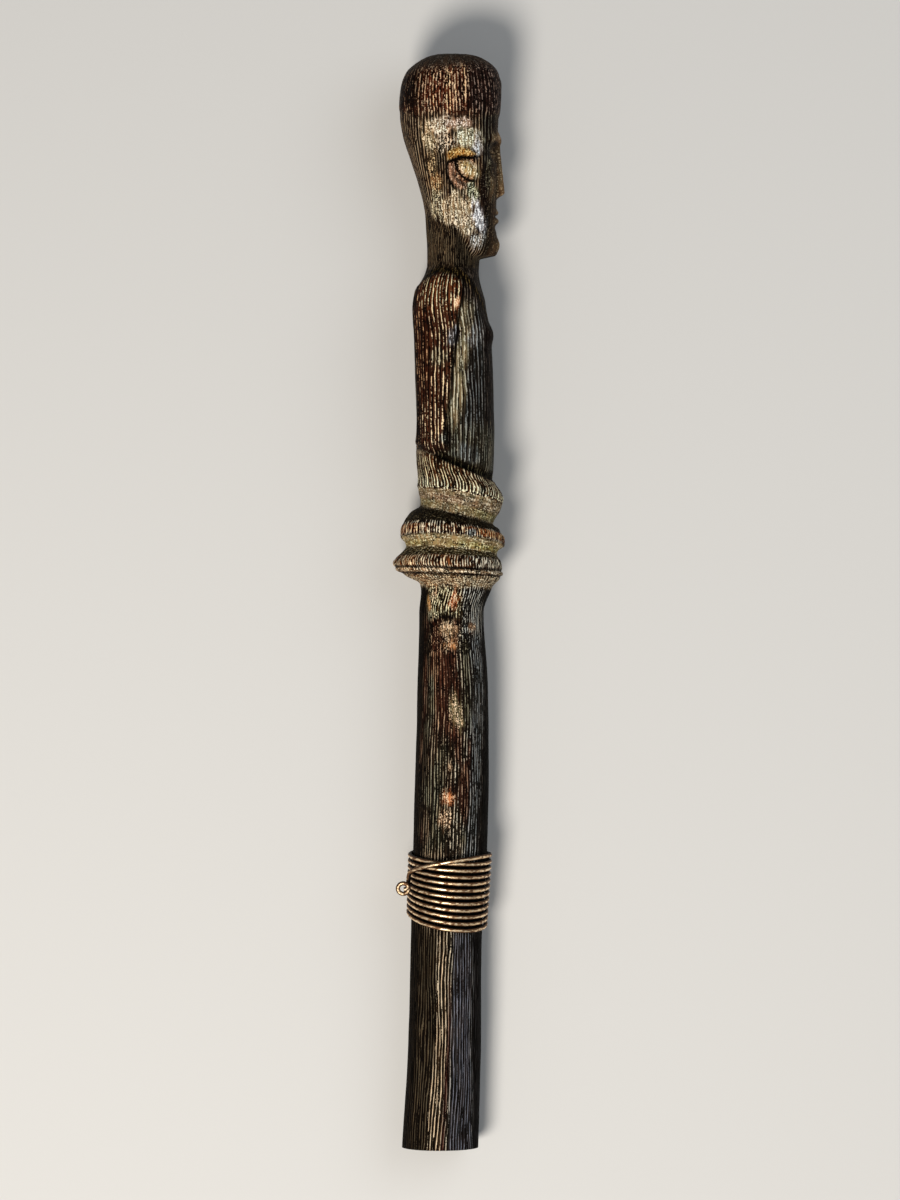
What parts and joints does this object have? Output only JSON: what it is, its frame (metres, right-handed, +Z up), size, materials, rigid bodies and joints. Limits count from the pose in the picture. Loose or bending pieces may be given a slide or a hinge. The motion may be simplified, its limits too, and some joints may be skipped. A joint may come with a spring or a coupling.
{
  "type": "carved wooden scepter",
  "caption": "Carved dark wooden scepter: a half figure with a tall head over a ringed collar, on a crooked branch-like shaft whose grip is bound with round wire.",
  "frame": {"origin": "under the middle of the whole object's bounding box, on the surface it lies on", "axes": "+Y from the foot towards the head, +X to the figure's front, +Z up from its left side to its right side"},
  "size_m": [0.043, 0.4202, 0.0424],
  "materials": {
    "carved_wood": "worn satin with a dusty patina",
    "wire_metal": "aged, with bright worn tops"
  },
  "bodies": {
    "root": {"staff": "carved_wood", "wire_binding": "wire_metal"}
  },
  "joints": []
}
